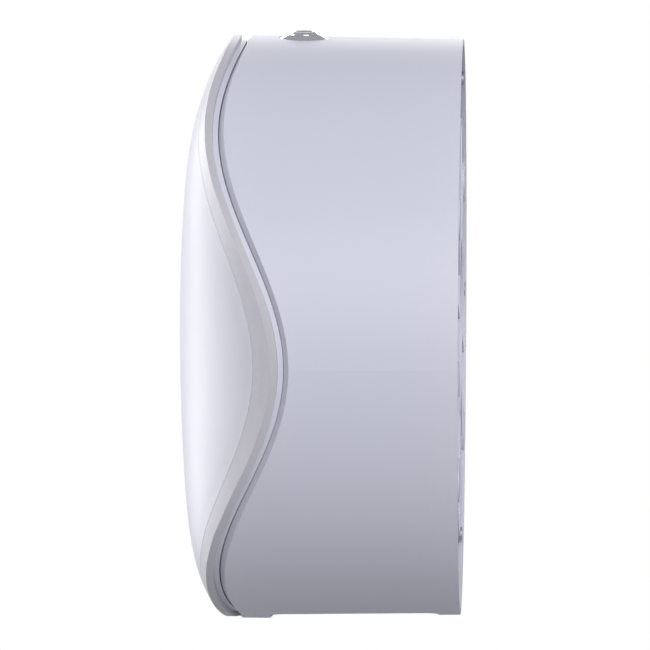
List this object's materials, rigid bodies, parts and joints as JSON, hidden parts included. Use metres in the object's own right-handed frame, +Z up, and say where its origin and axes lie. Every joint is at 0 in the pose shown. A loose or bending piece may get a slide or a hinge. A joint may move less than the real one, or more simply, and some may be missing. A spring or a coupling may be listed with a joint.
{
  "type": "paper towel dispenser",
  "caption": "Round wall-mounted jumbo roll paper dispenser with a domed, wave-edged door, push-button latch, roll spindle and toothed mouth.",
  "frame": {"origin": "centre of the back face that meets the wall, on the drum's axis", "axes": "+Y is out of the back into the wall, -Y is the front, +Z is up, X is across"},
  "size_m": [0.27, 0.13, 0.2731],
  "materials": {
    "drum_plastic": "glossy",
    "dome_plastic": "glossy",
    "rim_plastic": "glossy",
    "inner_plastic": "satin",
    "chrome": "polished",
    "steel": "satin",
    "zinc_steel": "satin"
  },
  "bodies": {
    "root_drum": {"drum_shell": "drum_plastic", "back_plate": "inner_plastic", "plate_screws": "zinc_steel", "hinge_block": "drum_plastic", "hinge_screws": "zinc_steel", "hinge_pin": "steel", "tear_strip_right": "steel", "tear_strip_left": "steel", "tear_strip_screws": "zinc_steel", "spindle_post": "inner_plastic", "spindle_screws": "zinc_steel", "hub_washer": "steel", "hub_cap_screw": "zinc_steel", "latch_bezel": "chrome", "bezel_nut": "inner_plastic", "button_spring": "steel", "latch_pin": "steel", "latch_spring": "steel"},
    "door": {"door_rim": "rim_plastic", "door_skirt": "drum_plastic", "door_panel": "dome_plastic", "striker_plate": "steel", "striker_screws": "zinc_steel"},
    "button": {"push_button": "chrome", "button_stem": "inner_plastic", "stem_clip": "steel"},
    "lever": {"latch_lever": "inner_plastic"},
    "hub": {"roll_hub": "inner_plastic"}
  },
  "joints": [
    {"name": "door_open", "type": "hinge", "parent": "root_drum", "child": "door", "pos_m": [0, -0.0985, -0.1324], "axis": [1, 0, 0], "range_deg": [0, 100]},
    {"name": "button_press", "type": "slide", "parent": "root_drum", "child": "button", "axis": [0, 0, -1], "range_m": [0, 0.0035], "stiffness_N_per_m": 1200, "deforming": ["button_spring"]},
    {"name": "lever_drop", "type": "hinge", "parent": "root_drum", "child": "lever", "pos_m": [0, -0.04, 0.11675], "axis": [1, 0, 0], "range_deg": [0, 6.2]},
    {"name": "hub_spin", "type": "hinge", "parent": "root_drum", "child": "hub", "pos_m": [0, -0.05, 0], "axis": [0, 1, 0], "continuous": true}
  ],
  "couplings": [
    {"joint": "lever_drop", "follows": "button_press", "rad_per_m": 29.94}
  ]
}
